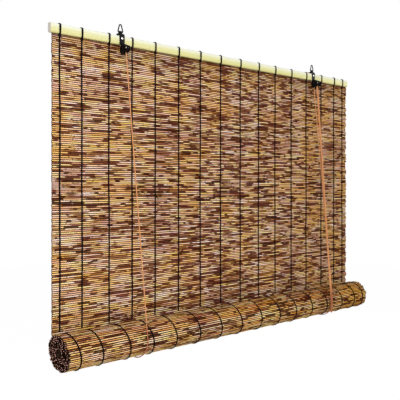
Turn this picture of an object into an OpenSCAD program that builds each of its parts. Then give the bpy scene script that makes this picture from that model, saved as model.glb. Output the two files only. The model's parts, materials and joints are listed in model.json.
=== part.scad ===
// Reed roll-up blind. A mat of reeds, bound by dark threads, hangs from a split-bamboo slat. Two pressed
// steel hangers with wire rings carry the slat, and a cord loop at each side lifts the rolled lower part.
// Millimetres. X runs along the slat, -Y faces the room, Z is up. The origin lies midway between the two
// rings, on the line where they bear on their wall hooks.

/* [Mat] */
// width of the mat, which is the length of its reeds
mat_w = 1200; // [800:10:1600]
// height of the hanging part of the mat, in whole reeds
mat_h = 708.4; // [460:4.6:920]
// height that one reed takes up
reed_pitch = 4.6; // [4:0.1:6]
// thickness of a reed
reed_t = 4.2; // [3.4:0.1:5]
// thickness of the wall where two reeds meet
seam_t = 1.6; // [1:0.1:2.4]
// height of a see-through gap between two reeds
gap_h = 0.8; // [0.5:0.1:1.4]
// distance from thread to thread
thread_pitch = 80; // [60:1:100]
// distance of the outermost threads from the edge of the mat
edge_thread = 20; // [10:1:30]
// width of a binding thread
thread_w = 1.8; // [1:0.1:3]
// thickness of a binding thread
thread_t = 0.9; // [0.5:0.1:1.4]

/* [Slat] */
// length of the slat beyond each edge of the mat
slat_over = 3; // [0:0.5:10]
// height of the slat
slat_h = 22.5; // [18:0.5:32]
// depth of the slat
slat_d = 12; // [11:0.5:16]
// rounding of the long edges of the slat
slat_edge_r = 3.5; // [2:0.1:4.5]

/* [Roll] */
// radius of the roll to the middle of its outermost layer
roll_r = 42; // [30:0.5:60]
// space between two layers of the roll
layer_gap = 0.4; // [0.3:0.05:1]
// width of the bottom slat in the core of the roll
batten_w = 14; // [10:0.5:20]
// thickness of the bottom slat
batten_t = 5.6; // [4:0.1:8]

/* [Hangers] */
// thread bays from the middle of the blind to each hanger
hanger_bay = 5; // [3:1:6]
// width of the saddle strap
strap_w = 15.5; // [15:0.5:24]
// thickness of the saddle strap
strap_t = 1.5; // [1:0.1:2]
// height of the saddle arch above the slat
saddle_rise = 5; // [3:0.1:5.5]
// width of the rolled barrel that holds the ring
barrel_w = 8; // [6:0.5:12]
// wall of the rolled barrel
barrel_wall = 1.95; // [1.2:0.05:3]
// depth to which the barrel merges with the saddle
barrel_sink = 0.6; // [0.3:0.1:1]
// diameter of the ring wire
wire_d = 3; // [1.8:0.1:3.2]
// height of the hook's bearing point above the barrel axis
ring_h = 17.5; // [16:0.5:36]
// bend radius of the ring beside the barrel
ring_corner_r = 3; // [2.4:0.1:5]
// bend radius of the ring at its top
ring_tip_r = 3.4; // [3:0.1:6]
// diameter of the slat rivet
rivet_d = 4; // [3:0.1:5]
// diameter of the rivet heads
rivet_head_d = 5.6; // [5.4:0.1:9]
// height of the rivet heads
rivet_head_h = 1.1; // [0.6:0.1:1.6]
// distance of the rivet below the top of the slat
rivet_drop = 6.6; // [5.5:0.1:8]
// length of the back leg of the saddle
back_leg = 13; // [12:0.5:17]
// height to which the pulley cheeks reach up the front leg
ear_rise = 4; // [2:0.5:6]
// thickness of a pulley cheek
cheek_t = 1.5; // [1:0.1:2]
// width of the cheek metal round the sheave and the lock cam
cheek_rim = 1.4; // [0.6:0.1:2]
// depth by which the cheeks hang below that metal
belly_drop = 4; // [0:0.5:8]
// diameter of the sheave axles
axle_d = 3; // [2:0.1:3.4]
// diameter of the nose pins
nose_pin_d = 2.4; // [1.6:0.1:3]
// height of the pin and axle heads
pin_head_h = 0.8; // [0.5:0.1:1.2]
// width of a sheave
sheave_w = 5; // [4.6:0.1:6]
// radius at which the cord runs on a sheave
sheave_pitch_r = 7.5; // [5:0.1:8]
// radius of the toothed face of the lock cam
cam_r = 4.6; // [4:0.1:6]

/* [Cords] */
// diameter of the cords
cord_d = 3; // [2:0.1:3.4]
// clearance round the cord in the slot under the slat
cord_play = 0.5; // [0.3:0.1:1]
// clearance between the cord loops and the roll
cord_lie = 0.8; // [0.2:0.1:1]
// distance by which the cord loops lie nearer to the middle than the hangers
loop_inset = 12; // [12:0.5:20]
// distance from the right cord loop to the first pull cord, and from that to the second
pull_space = 4; // [3.6:0.1:8]
// diameter of the joining knot
knot_d = 9; // [8:0.1:12]
// distance of the top of the joining knot below the axis of the roll
pull_drop = 22; // [10:1:60]

/* [Fits] */
// radial clearance of pins and wires in their bores
run_fit = 0.05; // [0.02:0.01:0.1]
// clearance at each side of a turning piece
side_play = 0.3; // [0.2:0.05:0.6]
// clearance between pieces that must not touch
fit_gap = 0.4; // [0.3:0.05:0.8]

/* [Hidden] */
$fn = 64;

// threads: inner ones on the pitch, one more near each edge
inner_span = mat_w / 2 - edge_thread - thread_pitch / 4;
inner_n = 2 * floor((inner_span - thread_pitch / 2) / thread_pitch) + 2;
inner_x = [for (i = [0 : inner_n - 1]) (i - (inner_n - 1) / 2) * thread_pitch];
thread_x = concat([edge_thread - mat_w / 2], inner_x, [mat_w / 2 - edge_thread]);

// heights, from the hook line down
barrel_r = wire_d / 2 + run_fit + barrel_wall;
barrel_z = -ring_h;
slat_top = barrel_z - barrel_r + barrel_sink - strap_t - saddle_rise;
slat_bot = slat_top - slat_h;
cord_gap = cord_d + 2 * cord_play;
cord_z = slat_bot - cord_gap / 2;
mat_top = slat_bot - cord_gap;
hanging_reeds = round(mat_h / reed_pitch);
mat_bot = mat_top - hanging_reeds * reed_pitch;

// roll: its outermost layer carries on from the mat, in the same plane
layer_pitch = reed_t + layer_gap;
batten_edge_r = 1;
core_r = norm([batten_w / 2 - batten_edge_r, batten_t / 2 - batten_edge_r]) + batten_edge_r
    + fit_gap + reed_t / 2;
roll_y = -roll_r;
roll_z = mat_bot - fit_gap;
roll_out = roll_r + reed_t / 2;
roll_reeds = floor(PI * (roll_r * roll_r - core_r * core_r) / layer_pitch / reed_pitch);
first_turn_reeds = floor(2 * PI * roll_r / reed_pitch);

// hangers
hanger_x = hanger_bay * thread_pitch;
saddle_c = slat_d / 2 - saddle_rise;
rivet_z = slat_top - rivet_drop;
sheave_rim_r = sheave_pitch_r + cord_d / 2;
axle_boss_r = sheave_rim_r + cheek_rim;
axle_z = cord_z - sheave_pitch_r;
axle_y = -(reed_t / 2 + 2 * fit_gap + axle_boss_r);
nose_reach = sheave_rim_r + fit_gap + cam_r;
nose_y = axle_y - nose_reach;
nose_boss_r = cam_r + cheek_rim;
left_inner_w = sheave_w + 2 * side_play;
right_inner_w = 2 * sheave_w + 3 * side_play;
sheave_dx = (sheave_w + side_play) / 2;

// cords: loops round the roll, runs up to the sheaves, and a transfer run behind the slat
loop_r = roll_out + cord_lie + cord_d / 2;
tie_x = hanger_x - loop_inset;
tie_y = roll_y + loop_r;
transfer_y = slat_d / 2 + thread_t + 0.6 + cord_d / 2;
bend_r = 6;
pulley_dist = norm([axle_y - roll_y, axle_z - roll_z]);
pulley_a = atan2(axle_z - roll_z, axle_y - roll_y);
front_a = pulley_a + acos((loop_r - sheave_pitch_r) / pulley_dist);
cross_a = pulley_a + acos((loop_r + sheave_pitch_r) / pulley_dist);
front_up = [0, sin(front_a), -cos(front_a)];
cross_up = [0, sin(cross_a), -cos(cross_a)];
pull_x = [tie_x - pull_space - 0.5, tie_x - 2 * pull_space - 0.5];
pull_z = roll_z - pull_drop;
knot_h = 1.2 * knot_d;

// points on an arc in a plane
function arc(c, r, a0, a1, n) =
    [for (i = [0 : n]) let (a = a0 + (a1 - a0) * i / n) c + r * [cos(a), sin(a)]];

// rectangle with rounded corners round the middle c
function rounded_box(c, w, h, r, n) = concat(
    arc(c + [w / 2 - r, h / 2 - r], r, 0, 90, n),
    arc(c + [r - w / 2, h / 2 - r], r, 90, 180, n),
    arc(c + [r - w / 2, r - h / 2], r, 180, 270, n),
    arc(c + [w / 2 - r, r - h / 2], r, 270, 360, n));

// spiral of the roll: point at mat length s from the outer end, moved out by d
function turn_r(s) = sqrt(roll_r * roll_r - layer_pitch * s / PI);
function turn_a(s) = (roll_r - turn_r(s)) / layer_pitch * 360;
function on_turn(s, d) = let (r = turn_r(s) + d, a = turn_a(s)) [roll_y + r * cos(a), roll_z - r * sin(a)];

// band on the outermost turn: point at angle a from the mat, moved out by d
function on_band(a, d) =
    let (r = roll_r - layer_pitch * a / 360 + d) [roll_y + r * cos(a), roll_z - r * sin(a)];

// points at x on a circle round the roll or a sheave
function round_roll(x, a) = [x, roll_y + loop_r * cos(a), roll_z + loop_r * sin(a)];
function round_sheave(x, a) = [x, axle_y + sheave_pitch_r * cos(a), axle_z + sheave_pitch_r * sin(a)];
function loop_path(x, a1) = [for (i = [0 : 26]) round_roll(x, (a1 - 360) * i / 26)];
function wrap_path(x, a0, a1, n) = [for (i = [0 : n]) round_sheave(x, a0 + (a1 - a0) * i / n)];
function bend_path(x, a0, a1) =
    [for (p = arc([x, transfer_y - bend_r], bend_r, a0, a1, 6)) [p[0], p[1], cord_z]];
function tail_path(x) = [
    round_roll(x, front_a),
    round_roll(x, (front_a + 180) / 2),
    round_roll(x, 180),
    [x, roll_y - loop_r, pull_z - knot_h / 3]];

// directions and side vectors along a cord
function unit(v) = v / norm(v);
function square_to(n, t) = unit(n - (n * t) * t);
function directions(p, t0, t1) = let (last = len(p) - 1)
    [for (i = [0 : last])
        i == 0 ? t0 : i == last ? t1 : unit(unit(p[i + 1] - p[i]) + unit(p[i] - p[i - 1]))];
function sides_of(t, n0) =
    [for (i = 0, n = square_to(n0, t[0]); i < len(t);
        i = i + 1, n = square_to(n, t[min(i, len(t) - 1)])) n];

// profile in the YZ plane, drawn out along X
module along_x(x0, len) {
    translate([x0, 0, 0])
        rotate([90, 0, 90])
            linear_extrude(len)
                children();
}

// round bar along X
module bar_x(x0, len, y, z, r) {
    translate([x0, y, z])
        rotate([0, 90, 0])
            cylinder(h = len, r = r);
}

// round bar along Y
module bar_y(x, y0, len, z, r) {
    translate([x, y0, z])
        rotate([-90, 0, 0])
            cylinder(h = len, r = r);
}

// cord along a path, with given directions at its two ends
module cord(path, t0, t1) {
    n = 8;
    t = directions(path, t0, t1);
    u = sides_of(t, abs(t0[0]) > 0.9 ? [0, 1, 0] : [1, 0, 0]);
    last = len(path) - 1;
    points = [for (i = [0 : last])
        for (k = [0 : n - 1])
            let (a = 360 * (k + 0.5) / n)
            path[i] + cord_d / 2 * (cos(a) * u[i] + sin(a) * cross(t[i], u[i]))];
    side_faces = [for (i = [0 : last - 1])
        for (k = [0 : n - 1])
            [i * n + k, (i + 1) * n + k, (i + 1) * n + (k + 1) % n, i * n + (k + 1) % n]];
    start_face = [for (k = [0 : n - 1]) k];
    end_face = [for (k = [0 : n - 1]) last * n + n - 1 - k];
    polyhedron(points, concat([start_face, end_face], side_faces), convexity = 6);
}

// bamboo slat with rivet holes, and notches at the back for the tied cord ends
module top_slat() {
    notch_w = cord_d + 0.6;
    color([0.86, 0.81, 0.62])
        difference() {
            along_x(-mat_w / 2 - slat_over, mat_w + 2 * slat_over)
                polygon(rounded_box([0, slat_top - slat_h / 2], slat_d, slat_h, slat_edge_r, 3));
            for (side = [-1, 1]) {
                bar_y(side * hanger_x, -slat_d, 2 * slat_d, rivet_z, rivet_d / 2 + run_fit);
                translate([side * tie_x - notch_w / 2, tie_y - notch_w / 2, slat_bot - 1])
                    cube([notch_w, slat_d, slat_h + 2]);
            }
        }
}

// hanging reeds as ridges of one wall, with see-through gaps between some of them
module reed_mat() {
    front = [for (i = [0 : hanging_reeds - 1])
        for (p = [[0, seam_t], [0.25, reed_t], [0.75, reed_t]])
            [-p[1] / 2, mat_top - (i + p[0]) * reed_pitch]];
    back = [for (i = [hanging_reeds - 1 : -1 : 0])
        for (p = [[0.5, reed_t], [0, seam_t]])
            [p[1] / 2, mat_top - (i + p[0]) * reed_pitch]];
    foot = [[-seam_t / 2, mat_bot], [seam_t / 2, mat_bot]];
    slit_w = thread_pitch - thread_w - 6;
    color([0.74, 0.58, 0.36])
        difference() {
            along_x(-mat_w / 2, mat_w)
                polygon(concat(front, foot, back));
            for (i = [2 : 3 : hanging_reeds - 2])
                translate([
                    inner_x[(i * 5) % (inner_n - 1)] + thread_w / 2 + 3,
                    -reed_t,
                    mat_top - i * reed_pitch - gap_h / 2])
                    cube([slit_w, 2 * reed_t, gap_h]);
        }
}

// threads down the front and the back of the mat
module mat_threads() {
    top = slat_bot - thread_t;
    front_len = top - roll_z - 3 * reed_pitch;
    color([0.16, 0.11, 0.09])
        for (x = thread_x) {
            translate([x - thread_w / 2, -reed_t / 2 - thread_t, top - front_len])
                cube([thread_w, thread_t, front_len]);
            translate([x - thread_w / 2, reed_t / 2, mat_bot])
                cube([thread_w, thread_t, top - mat_bot]);
        }
}

// the same threads where they wrap round the slat
module slat_loops() {
    mid = [0, slat_top - slat_h / 2];
    color([0.16, 0.11, 0.09])
        for (x = thread_x)
            along_x(x - thread_w / 2, thread_w)
                difference() {
                    polygon(rounded_box(
                        mid, slat_d + 2 * thread_t, slat_h + 2 * thread_t, slat_edge_r + thread_t, 3));
                    polygon(rounded_box(mid, slat_d, slat_h, slat_edge_r, 3));
                }
}

// rolled lower part of the mat: one spiral wall with a ridge for every reed
module reed_roll() {
    outer = [for (i = [0 : roll_reeds - 1])
        for (p = i < first_turn_reeds
            ? [[0, seam_t], [0.25, reed_t], [0.75, reed_t]] : [[0, seam_t], [0.5, reed_t]])
            on_turn((i + p[0]) * reed_pitch, p[1] / 2)];
    inner = [for (i = [roll_reeds - 1 : -1 : 0]) on_turn((i + 0.5) * reed_pitch, -reed_t / 2)];
    tail = [on_turn(roll_reeds * reed_pitch, seam_t / 2), on_turn(roll_reeds * reed_pitch, -seam_t / 2)];
    color([0.66, 0.48, 0.3])
        along_x(-mat_w / 2, mat_w)
            polygon(concat(outer, tail, inner, [on_turn(0, -seam_t / 2)]));
}

// threads round the outermost turn of the roll
module roll_threads() {
    steps = 16;
    a0 = 2;
    a1 = 335;
    step_a = (a1 - a0) / steps;
    // straight steps clear the ridges at their middle
    lift = reed_t / 2 + roll_r * (1 - cos(step_a / 2)) + 0.05;
    inner = [for (i = [0 : steps]) on_band(a0 + i * step_a, lift)];
    outer = [for (i = [steps : -1 : 0]) on_band(a0 + i * step_a, lift + thread_t)];
    color([0.16, 0.11, 0.09])
        for (x = thread_x)
            along_x(x - thread_w / 2, thread_w)
                polygon(concat(inner, outer));
}

// bamboo slat in the core of the roll, with one edge at the innermost reed
module bottom_slat() {
    last_a = turn_a((roll_reeds - 0.5) * reed_pitch);
    edge_a = atan2(batten_t / 2 - batten_edge_r, batten_w / 2 - batten_edge_r);
    color([0.8, 0.72, 0.5])
        translate([0, roll_y, roll_z])
            rotate([-last_a - edge_a, 0, 0])
                along_x(-mat_w / 2, mat_w)
                    polygon(rounded_box([0, 0], batten_w, batten_t, batten_edge_r, 3));
}

// bent wire ring round x = 0: bar in the barrel, two corners, two sides and the bearing tip
module hook_ring() {
    wire_r = wire_d / 2;
    corner = [barrel_w / 2 + side_play, barrel_z + ring_corner_r];
    tip = [0, wire_r - ring_tip_r];
    reach = tip - corner;
    side_a = atan2(reach[1], reach[0]) - acos((ring_corner_r - ring_tip_r) / norm(reach));
    out = [cos(side_a), sin(side_a)];
    low = corner + ring_corner_r * out;
    high = tip + ring_tip_r * out;
    // the bends are a hair thicker than the straight wire that ends in them
    bend_wire_r = wire_r + 0.02;
    lap = 0.2;
    color([0.05, 0.05, 0.05]) {
        bar_x(-corner[0] - lap, 2 * (corner[0] + lap), 0, barrel_z, wire_r);
        for (side = [0, 1])
            mirror([side, 0, 0]) {
                translate([corner[0], 0, corner[1]])
                    rotate([90, 0, 0])
                        rotate([0, 0, -90])
                            rotate_extrude(angle = 90 + side_a)
                                translate([ring_corner_r, 0])
                                    circle(bend_wire_r);
                translate([low[0], 0, low[1]])
                    rotate([0, atan2(high[0] - low[0], high[1] - low[1]), 0])
                        translate([0, 0, -lap])
                            cylinder(h = norm(high - low) + 2 * lap, r = wire_r);
            }
        translate([0, 0, tip[1]])
            rotate([90, 0, 0])
                rotate([0, 0, side_a])
                    rotate_extrude(angle = 180 - 2 * side_a)
                        translate([ring_tip_r, 0])
                            circle(bend_wire_r);
    }
}

module left_hook_ring() {
    translate([-hanger_x, 0, 0])
        hook_ring();
}

module right_hook_ring() {
    translate([hanger_x, 0, 0])
        hook_ring();
}

// pressed saddle over the slat, with the rolled barrel on top and two pulley cheeks in front
module hanger(inner_w) {
    saddle = concat(
        [[-slat_d / 2 - strap_t, slat_bot]],
        arc([-saddle_c, slat_top], saddle_rise + strap_t, 180, 90, 6),
        arc([saddle_c, slat_top], saddle_rise + strap_t, 90, 0, 6),
        [[slat_d / 2 + strap_t, slat_top - back_leg], [slat_d / 2, slat_top - back_leg]],
        arc([saddle_c, slat_top], saddle_rise, 0, 90, 6),
        arc([-saddle_c, slat_top], saddle_rise, 90, 180, 6),
        [[-slat_d / 2, slat_bot]]);
    nose = [nose_y, axle_z];
    axle = [axle_y, axle_z];
    drop = [0, belly_drop];
    ear_top = [-slat_d / 2 - strap_t, slat_bot + ear_rise];
    rise = ear_top - nose;
    top_a = atan2(rise[1], rise[0]) + acos(nose_boss_r / norm(rise));
    belly_a = 90 + asin((axle_boss_r - nose_boss_r) / nose_reach);
    back_a = acos(min(1, (-slat_d / 2 - axle_y) / axle_boss_r));
    cheek = concat(
        [[-slat_d / 2, slat_bot + ear_rise], ear_top],
        arc(nose, nose_boss_r, top_a, 180, 6),
        arc(nose - drop, nose_boss_r, 180, 360 - belly_a, 6),
        arc(axle - drop, axle_boss_r, -belly_a, 0, 8),
        arc(axle, axle_boss_r, 0, back_a, 4));
    color([0.06, 0.06, 0.06])
        difference() {
            union() {
                along_x(-strap_w / 2, strap_w)
                    polygon(saddle);
                bar_x(-barrel_w / 2, barrel_w, 0, barrel_z, barrel_r);
                for (side = [-1, 1])
                    along_x(side * (inner_w + cheek_t) / 2 - cheek_t / 2, cheek_t)
                        polygon(cheek);
            }
            bar_x(-barrel_w, 2 * barrel_w, 0, barrel_z, wire_d / 2 + run_fit);
            bar_x(-strap_w, 2 * strap_w, axle_y, axle_z, axle_d / 2 + run_fit);
            bar_x(-strap_w, 2 * strap_w, nose_y, axle_z, nose_pin_d / 2 + run_fit);
            bar_y(0, -slat_d, 2 * slat_d, rivet_z, rivet_d / 2 + run_fit);
        }
}

module left_hanger() {
    translate([-hanger_x, 0, 0])
        hanger(left_inner_w);
}

module right_hanger() {
    translate([hanger_x, 0, 0])
        hanger(right_inner_w);
}

// lathe-turned pin along Z: shank from -len / 2 to len / 2 with a domed head at each end
module headed_pin(len, r, head_r, head_h) {
    rotate_extrude()
        polygon([
            [0, -len / 2 - head_h],
            [head_r * 0.6, -len / 2 - head_h],
            [head_r, -len / 2 - head_h * 0.3],
            [head_r, -len / 2],
            [r, -len / 2],
            [r, len / 2],
            [head_r, len / 2],
            [head_r, len / 2 + head_h * 0.3],
            [head_r * 0.6, len / 2 + head_h],
            [0, len / 2 + head_h]]);
}

module slat_rivet(x) {
    color([0.75, 0.75, 0.74])
        translate([x, 0, rivet_z])
            rotate([90, 0, 0])
                headed_pin(slat_d + 2 * strap_t, rivet_d / 2, rivet_head_d / 2, rivet_head_h);
}

module left_slat_rivet() {
    slat_rivet(-hanger_x);
}

module right_slat_rivet() {
    slat_rivet(hanger_x);
}

// pin through both cheeks of a hanger
module cheek_pin(x, y, inner_w, d) {
    color([0.75, 0.75, 0.74])
        translate([x, y, axle_z])
            rotate([0, 90, 0])
                headed_pin(inner_w + 2 * cheek_t, d / 2, 0.85 * d, pin_head_h);
}

module left_axle() {
    cheek_pin(-hanger_x, axle_y, left_inner_w, axle_d);
}

module right_axle() {
    cheek_pin(hanger_x, axle_y, right_inner_w, axle_d);
}

// keeps the cord on the left sheave
module left_keeper_pin() {
    cheek_pin(-hanger_x, nose_y, left_inner_w, nose_pin_d);
}

// carries the lock cam
module right_cam_pin() {
    cheek_pin(hanger_x, nose_y, right_inner_w, nose_pin_d);
}

// grooved pulley round its axle
module sheave(x) {
    half = sheave_w / 2;
    groove = [
        [sheave_rim_r, half - 0.4],
        [sheave_pitch_r, cord_d / 2 + 0.4],
        [sheave_pitch_r - cord_d * 0.4, cord_d / 2],
        [sheave_pitch_r - cord_d / 2 - 0.3, cord_d / 4]];
    bore_r = axle_d / 2 + run_fit;
    color([0.82, 0.8, 0.74])
        translate([x, axle_y, axle_z])
            rotate([0, 90, 0])
                rotate_extrude()
                    polygon(concat(
                        [[bore_r, -half], [sheave_rim_r, -half]],
                        [for (p = groove) [p[0], -p[1]]],
                        [for (i = [len(groove) - 1 : -1 : 0]) groove[i]],
                        [[sheave_rim_r, half], [bore_r, half]]));
}

module left_sheave() {
    sheave(-hanger_x);
}

module right_sheave_outer() {
    sheave(hanger_x + sheave_dx);
}

module right_sheave_inner() {
    sheave(hanger_x - sheave_dx);
}

// toothed cam that grips both pull cords against their sheaves
module lock_cam() {
    cam_w = right_inner_w - 2 * side_play;
    small_r = 0.7 * cam_r;
    teeth = [for (i = [0 : 12])
        let (a = -48 + 8 * i, r = i % 2 == 0 ? cam_r - 0.5 : cam_r) r * [cos(a), sin(a)]];
    color([0.7, 0.7, 0.69])
        translate([0, nose_y, axle_z])
            difference() {
                along_x(hanger_x - cam_w / 2, cam_w)
                    polygon(concat(teeth, arc([0, 0], small_r, 70, 290, 12)));
                bar_x(hanger_x - cam_w, 2 * cam_w, 0, 0, nose_pin_d / 2 + run_fit);
            }
}

// cord down the back of the mat
module back_cord(x) {
    color([0.76, 0.5, 0.27])
        cord([[x, tie_y, slat_bot], [x, tie_y, roll_z]], [0, 0, -1], [0, 0, -1]);
}

module left_back_cord() {
    back_cord(-tie_x);
}

module right_back_cord() {
    back_cord(tie_x);
}

// cord loops under the roll, from behind the mat to the front
module left_cord_loop() {
    color([0.76, 0.5, 0.27])
        cord(loop_path(-tie_x, front_a), [0, 0, -1], front_up);
}

module right_cord_loop() {
    color([0.76, 0.5, 0.27])
        cord(loop_path(tie_x, cross_a), [0, 0, -1], cross_up);
}

// cord in front of the mat, up to the front of the left sheave
module left_front_cord() {
    color([0.76, 0.5, 0.27])
        cord([round_roll(-tie_x, front_a), round_sheave(-hanger_x, front_a)], front_up, front_up);
}

// cord in front of the mat, up to the back of the outer right sheave
module right_lift_cord() {
    x1 = hanger_x + sheave_dx;
    color([0.76, 0.5, 0.27])
        cord([round_roll(tie_x, cross_a), round_sheave(x1, cross_a - 180)], cross_up, cross_up);
}

// cord over the left sheave, behind the slat and over the inner right sheave
module transfer_cord() {
    x0 = -hanger_x;
    x1 = hanger_x - sheave_dx;
    color([0.76, 0.5, 0.27])
        cord(concat(
            wrap_path(x0, front_a, 90, 6),
            bend_path(x0 + bend_r, 180, 90),
            bend_path(x1 - bend_r, 90, 0),
            wrap_path(x1, 90, front_a, 6)), front_up, -front_up);
}

// cord over the outer right sheave
module right_sheave_cord() {
    color([0.76, 0.5, 0.27])
        cord(wrap_path(hanger_x + sheave_dx, cross_a - 180, front_a, 12), cross_up, -front_up);
}

// free ends of both cords, from the right sheaves down to the front of the roll
module pull_cord(x0, x1) {
    color([0.76, 0.5, 0.27])
        cord([round_sheave(x0, front_a), round_roll(x1, front_a)], -front_up, -front_up);
}

module first_pull_cord() {
    pull_cord(hanger_x + sheave_dx, pull_x[0]);
}

module second_pull_cord() {
    pull_cord(hanger_x - sheave_dx, pull_x[1]);
}

// knot on top of the slat, with the cord end that passes the notch
module tie_knot(x) {
    r = 0.42 * knot_d;
    color([0.76, 0.5, 0.27])
        translate([x, tie_y, slat_top])
            rotate_extrude()
                polygon([[0, -slat_h], [cord_d / 2, -slat_h], [cord_d / 2, 0], [0.75 * r, 0], [r, 0.45 * r],
                    [r, 0.85 * r], [0.7 * r, 1.3 * r], [0, 1.4 * r]]);
}

module left_tie_knot() {
    tie_knot(-tie_x);
}

module right_tie_knot() {
    tie_knot(tie_x);
}

// knot that joins the two pull cords, with their last stretch over the front of the roll
module pull_knot() {
    r = knot_d / 2;
    color([0.76, 0.5, 0.27]) {
        for (x = pull_x)
            cord(tail_path(x), -front_up, [0, 0, -1]);
        translate([(pull_x[0] + pull_x[1]) / 2, roll_y - loop_r, pull_z])
            rotate_extrude()
                polygon([[0, 0], [0.8 * r, 0], [r, -0.2 * knot_h], [r, -0.5 * knot_h],
                    [0.75 * r, -0.8 * knot_h], [0.4 * r, -knot_h], [0, -knot_h]]);
    }
}

left_hook_ring();
right_hook_ring();
top_slat();
reed_mat();
mat_threads();
slat_loops();
left_hanger();
right_hanger();
left_slat_rivet();
right_slat_rivet();
left_axle();
right_axle();
left_keeper_pin();
right_cam_pin();
left_sheave();
right_sheave_outer();
right_sheave_inner();
lock_cam();
left_back_cord();
right_back_cord();
left_cord_loop();
right_cord_loop();
left_front_cord();
right_lift_cord();
transfer_cord();
right_sheave_cord();
first_pull_cord();
second_pull_cord();
left_tie_knot();
right_tie_knot();
pull_knot();
reed_roll();
roll_threads();
bottom_slat();
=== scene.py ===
import json
import math
import bmesh
import bpy
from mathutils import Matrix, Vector


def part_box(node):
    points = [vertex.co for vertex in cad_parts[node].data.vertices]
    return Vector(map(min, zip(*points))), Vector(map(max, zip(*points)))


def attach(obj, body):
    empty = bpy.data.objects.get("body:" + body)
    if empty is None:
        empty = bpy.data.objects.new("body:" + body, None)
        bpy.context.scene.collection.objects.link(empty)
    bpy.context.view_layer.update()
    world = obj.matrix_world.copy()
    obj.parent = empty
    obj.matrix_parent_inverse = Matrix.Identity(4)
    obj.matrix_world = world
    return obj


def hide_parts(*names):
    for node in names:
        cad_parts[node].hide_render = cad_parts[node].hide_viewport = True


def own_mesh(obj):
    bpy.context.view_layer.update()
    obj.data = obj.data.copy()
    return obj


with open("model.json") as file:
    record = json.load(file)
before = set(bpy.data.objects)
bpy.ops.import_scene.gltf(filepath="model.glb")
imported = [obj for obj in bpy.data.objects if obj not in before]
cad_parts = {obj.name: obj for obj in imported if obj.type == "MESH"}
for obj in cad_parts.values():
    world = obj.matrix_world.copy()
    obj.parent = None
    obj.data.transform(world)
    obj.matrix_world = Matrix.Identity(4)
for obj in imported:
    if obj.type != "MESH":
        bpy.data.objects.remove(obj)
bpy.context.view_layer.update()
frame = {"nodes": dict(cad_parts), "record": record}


# The view. The photograph was taken level, from the left of the blind and about half way up it, with a
# longish lens, so that the slat and the roll run together towards the right.
PHOTO_WIDTH = 400
FOCAL_PIXELS = 687.9
HORIZON_PIXEL = 185.8
EYE = Vector((-1.4639, -1.3228, -0.3936))
AIM = Vector((0.7122, 0.7020, 0.0))


def new_object(name, data):
    """Object of this data, linked into the scene."""
    piece = bpy.data.objects.new(name, data)
    bpy.context.collection.objects.link(piece)
    return piece


camera_data = bpy.data.cameras.new("photo_camera")
camera_data.sensor_width = 36.0
camera_data.lens = camera_data.sensor_width * FOCAL_PIXELS / PHOTO_WIDTH
camera_data.shift_y = (HORIZON_PIXEL - PHOTO_WIDTH / 2) / PHOTO_WIDTH
camera = new_object("photo_camera", camera_data)
camera.location = EYE
camera.rotation_euler = AIM.to_track_quat("-Z", "Y").to_euler()
bpy.context.scene.camera = camera
bpy.context.scene.view_settings.view_transform = "Standard"


# The studio. A white room with soft lamps: a large one over the camera's left shoulder, weaker ones from the
# right and from below, and one from behind for the other side. The floor lies well below the hanging blind.
FLOOR_Z = -1.75
FLOOR_HALF = 9.0
FLOOR_GREY = (0.9, 0.9, 0.9, 1.0)
FLOOR_GLOW = 1.06
FLOOR_GLOW_SHARE = 0.9
ROOM_LIGHT = 0.42
LAMP_AIM = Vector((0.0, 0.0, -0.4))
LAMPS = (
    ("key_lamp", (-2.1, -2.3, 0.9), 1.6, 69.0),
    ("fill_lamp", (2.3, -2.3, 0.2), 1.6, 28.0),
    ("back_lamp", (0.4, 2.9, 0.7), 2.0, 40.0),
    ("low_lamp", (-1.0, -1.9, -1.6), 1.2, 9.0),
)


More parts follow.
